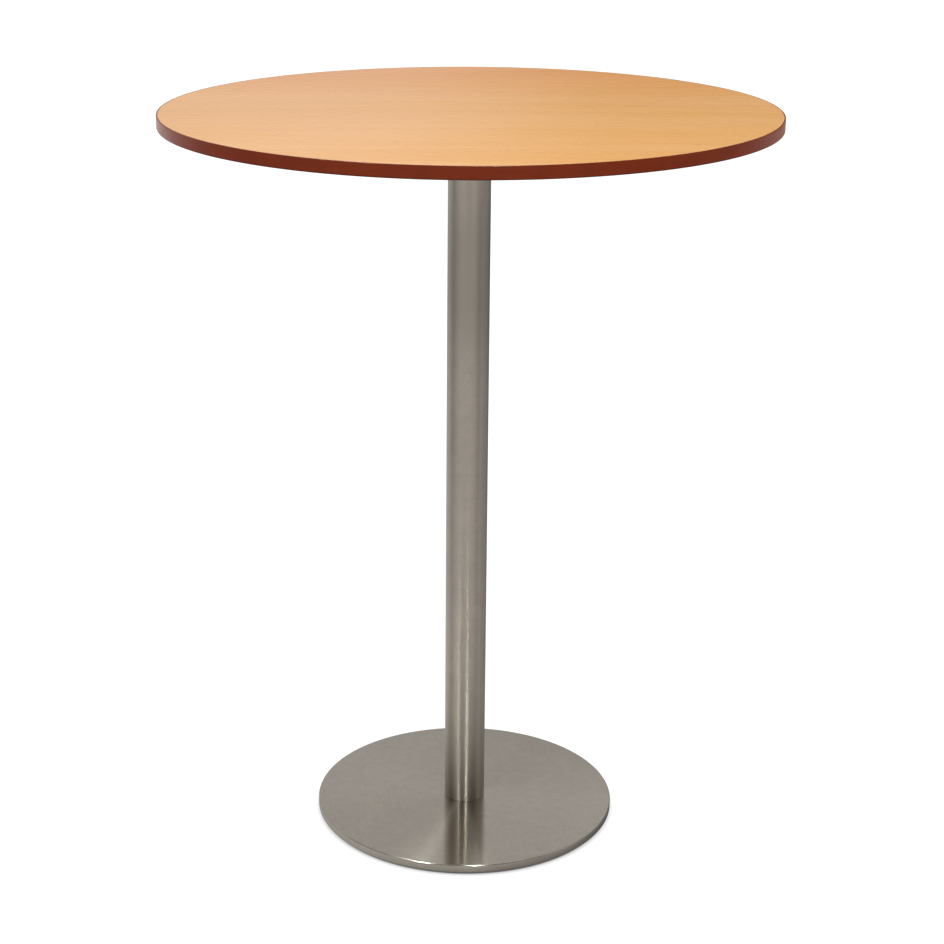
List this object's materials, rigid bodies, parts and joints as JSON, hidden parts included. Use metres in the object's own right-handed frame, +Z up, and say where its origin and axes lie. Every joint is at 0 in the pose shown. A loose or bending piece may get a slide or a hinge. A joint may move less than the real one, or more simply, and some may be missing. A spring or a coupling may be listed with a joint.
{
  "type": "pub table",
  "caption": "Bar-height pedestal table: round wood-laminate top with a dark edge band on a slim brushed steel column and a flat weighted disc base with screw glides.",
  "frame": {"origin": "on the floor, on the column's axis", "axes": "+Z up along the column; +X along the laminate's grain; -Y is the front"},
  "size_m": [0.8999, 0.9, 1.118],
  "materials": {
    "beech_laminate": "satin beech-grain laminate",
    "backing_laminate": "plain off-white balancing laminate",
    "particle_board": "raw particle board",
    "edge_band": "semi-gloss red-brown PVC edging",
    "brushed_column": "stainless, brushed round the tube",
    "brushed_base": "stainless, brushed in circles",
    "black_steel": "black powder coat",
    "bare_steel": "turned mild steel",
    "zinc_steel": "bright zinc plated",
    "black_plastic": "moulded black nylon"
  },
  "bodies": {
    "table": {"tabletop_core": "particle_board", "tabletop_face": "beech_laminate", "tabletop_backer": "backing_laminate", "edge_band": "edge_band", "spider": "black_steel", "spider_screws": "zinc_steel", "head_cup": "bare_steel", "head_flat_washer": "zinc_steel", "head_spring_washer": "zinc_steel", "head_nut": "zinc_steel", "column_tube": "brushed_column", "tie_rod": "zinc_steel", "foot_cup": "bare_steel", "foot_flat_washer": "zinc_steel", "foot_spring_washer": "zinc_steel", "foot_nut": "zinc_steel", "base_weight": "black_steel", "base_cover": "brushed_base"},
    "glide_1_pad": {"glide_pad_1": "black_plastic"},
    "glide_1_stud": {"glide_stud_1": "zinc_steel"},
    "glide_2_pad": {"glide_pad_2": "black_plastic"},
    "glide_2_stud": {"glide_stud_2": "zinc_steel"},
    "glide_3_pad": {"glide_pad_3": "black_plastic"},
    "glide_3_stud": {"glide_stud_3": "zinc_steel"},
    "glide_4_pad": {"glide_pad_4": "black_plastic"},
    "glide_4_stud": {"glide_stud_4": "zinc_steel"}
  },
  "joints": [
    {"name": "glide_1_travel", "type": "slide", "parent": "table", "child": "glide_1_pad", "axis": [0, 0, -1], "range_m": [0, 0.005]},
    {"name": "glide_1_turn", "type": "hinge", "parent": "glide_1_pad", "child": "glide_1_stud", "pos_m": [0.14071, 0.14071, 0.0035], "axis": [0, 0, -1], "range_deg": [0, 1440]},
    {"name": "glide_2_travel", "type": "slide", "parent": "table", "child": "glide_2_pad", "axis": [0, 0, -1], "range_m": [0, 0.005]},
    {"name": "glide_2_turn", "type": "hinge", "parent": "glide_2_pad", "child": "glide_2_stud", "pos_m": [-0.14071, 0.14071, 0.0035], "axis": [0, 0, -1], "range_deg": [0, 1440]},
    {"name": "glide_3_travel", "type": "slide", "parent": "table", "child": "glide_3_pad", "axis": [0, 0, -1], "range_m": [0, 0.005]},
    {"name": "glide_3_turn", "type": "hinge", "parent": "glide_3_pad", "child": "glide_3_stud", "pos_m": [-0.14071, -0.14071, 0.0035], "axis": [0, 0, -1], "range_deg": [0, 1440]},
    {"name": "glide_4_travel", "type": "slide", "parent": "table", "child": "glide_4_pad", "axis": [0, 0, -1], "range_m": [0, 0.005]},
    {"name": "glide_4_turn", "type": "hinge", "parent": "glide_4_pad", "child": "glide_4_stud", "pos_m": [0.14071, -0.14071, 0.0035], "axis": [0, 0, -1], "range_deg": [0, 1440]}
  ],
  "couplings": [
    {"joint": "glide_1_travel", "follows": "glide_1_turn", "m_per_rad": 0.00019894},
    {"joint": "glide_2_travel", "follows": "glide_2_turn", "m_per_rad": 0.00019894},
    {"joint": "glide_3_travel", "follows": "glide_3_turn", "m_per_rad": 0.00019894},
    {"joint": "glide_4_travel", "follows": "glide_4_turn", "m_per_rad": 0.00019894}
  ]
}
